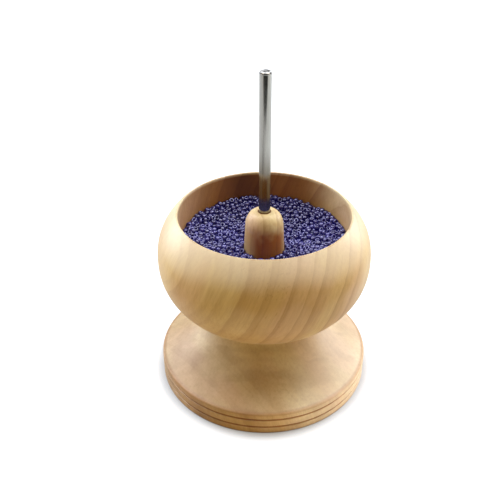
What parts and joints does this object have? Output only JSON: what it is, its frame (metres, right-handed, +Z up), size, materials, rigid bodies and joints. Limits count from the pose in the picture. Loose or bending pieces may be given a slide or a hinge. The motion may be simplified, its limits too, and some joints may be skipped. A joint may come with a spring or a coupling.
{
  "type": "bead spinner",
  "caption": "Turned wooden bowl of seed beads with a centre post and steel spindle, twirled by hand on a flared wooden base to string beads on a needle.",
  "frame": {"origin": "centre of the base's underside, on the spindle's axis", "axes": "+Z up along the spindle, which is the axis that everything was turned about; -Y faces the viewer of the picture and +X is to the viewer's right"},
  "size_m": [0.0678, 0.0678, 0.1016],
  "materials": {
    "turned_wood": "satin",
    "post_wood": "satin",
    "spindle_steel": "polished",
    "ball_steel": "polished",
    "bearing_brass": "satin",
    "glass_beads": "gloss"
  },
  "bodies": {
    "stand": {"base": "turned_wood", "bearing_cup": "bearing_brass"},
    "pivot": {"pivot_ball": "ball_steel"},
    "spinner": {"spindle": "spindle_steel", "bowl": "turned_wood", "hub_post": "post_wood", "bead_fill": "glass_beads"}
  },
  "joints": [
    {"name": "bowl_spin", "type": "hinge", "parent": "stand", "child": "pivot", "pos_m": [0, 0, 0.024], "axis": [0, 0, 1], "continuous": true},
    {"name": "bowl_lift", "type": "slide", "parent": "pivot", "child": "spinner", "axis": [0, 0, 1], "range_m": [0, 0.03]}
  ]
}
